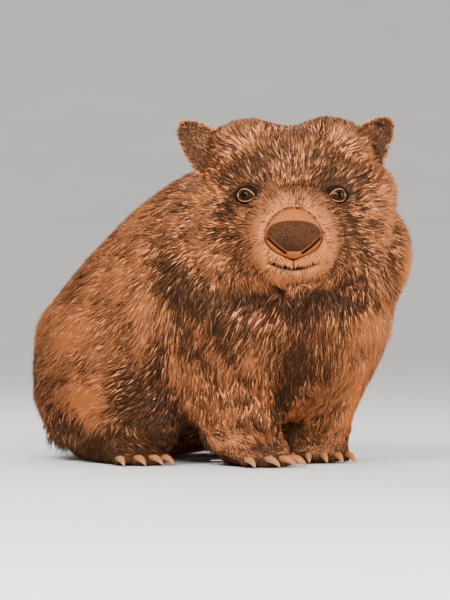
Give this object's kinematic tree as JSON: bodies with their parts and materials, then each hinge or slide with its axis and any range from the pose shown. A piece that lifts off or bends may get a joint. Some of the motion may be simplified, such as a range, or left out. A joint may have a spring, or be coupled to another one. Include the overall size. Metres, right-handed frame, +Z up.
{
  "type": "wombat",
  "caption": "Life-size still model of a young bare-nosed wombat sitting on its haunches, head turned to its right, on flat soles and rump.",
  "frame": {"origin": "middle of the bounding box on the floor plane, under the belly", "axes": "+Y runs from the face towards the tail, +X towards the animal's left side, +Z up"},
  "size_m": [0.3276, 0.5432, 0.3552],
  "materials": {
    "fur_body": "dense coarse fur",
    "fur_face": "short fur",
    "fur_paws": "short coarse fur",
    "nose_skin": "bare granular skin",
    "eye_gloss": "wet gloss",
    "claw_horn": "worn horn"
  },
  "bodies": {
    "root": {"head": "fur_face", "ear_l": "fur_face", "ear_r": "fur_face", "eye_l": "eye_gloss", "eye_r": "eye_gloss", "nose": "nose_skin", "neck": "fur_body", "torso": "fur_body", "tail": "fur_body", "foreleg_l": "fur_body", "foreleg_r": "fur_body", "hindleg_l": "fur_body", "hindleg_r": "fur_body", "forefoot_l": "fur_paws", "forefoot_r": "fur_paws", "hindfoot_l": "fur_paws", "hindfoot_r": "fur_paws", "claw_forefoot_l_1": "claw_horn", "claw_forefoot_l_2": "claw_horn", "claw_forefoot_l_3": "claw_horn", "claw_forefoot_l_4": "claw_horn", "claw_forefoot_l_5": "claw_horn", "claw_forefoot_r_1": "claw_horn", "claw_forefoot_r_2": "claw_horn", "claw_forefoot_r_3": "claw_horn", "claw_forefoot_r_4": "claw_horn", "claw_forefoot_r_5": "claw_horn", "claw_hindfoot_l_2": "claw_horn", "claw_hindfoot_l_3": "claw_horn", "claw_hindfoot_l_4": "claw_horn", "claw_hindfoot_l_5": "claw_horn", "claw_hindfoot_r_2": "claw_horn", "claw_hindfoot_r_3": "claw_horn", "claw_hindfoot_r_4": "claw_horn", "claw_hindfoot_r_5": "claw_horn"}
  },
  "joints": []
}
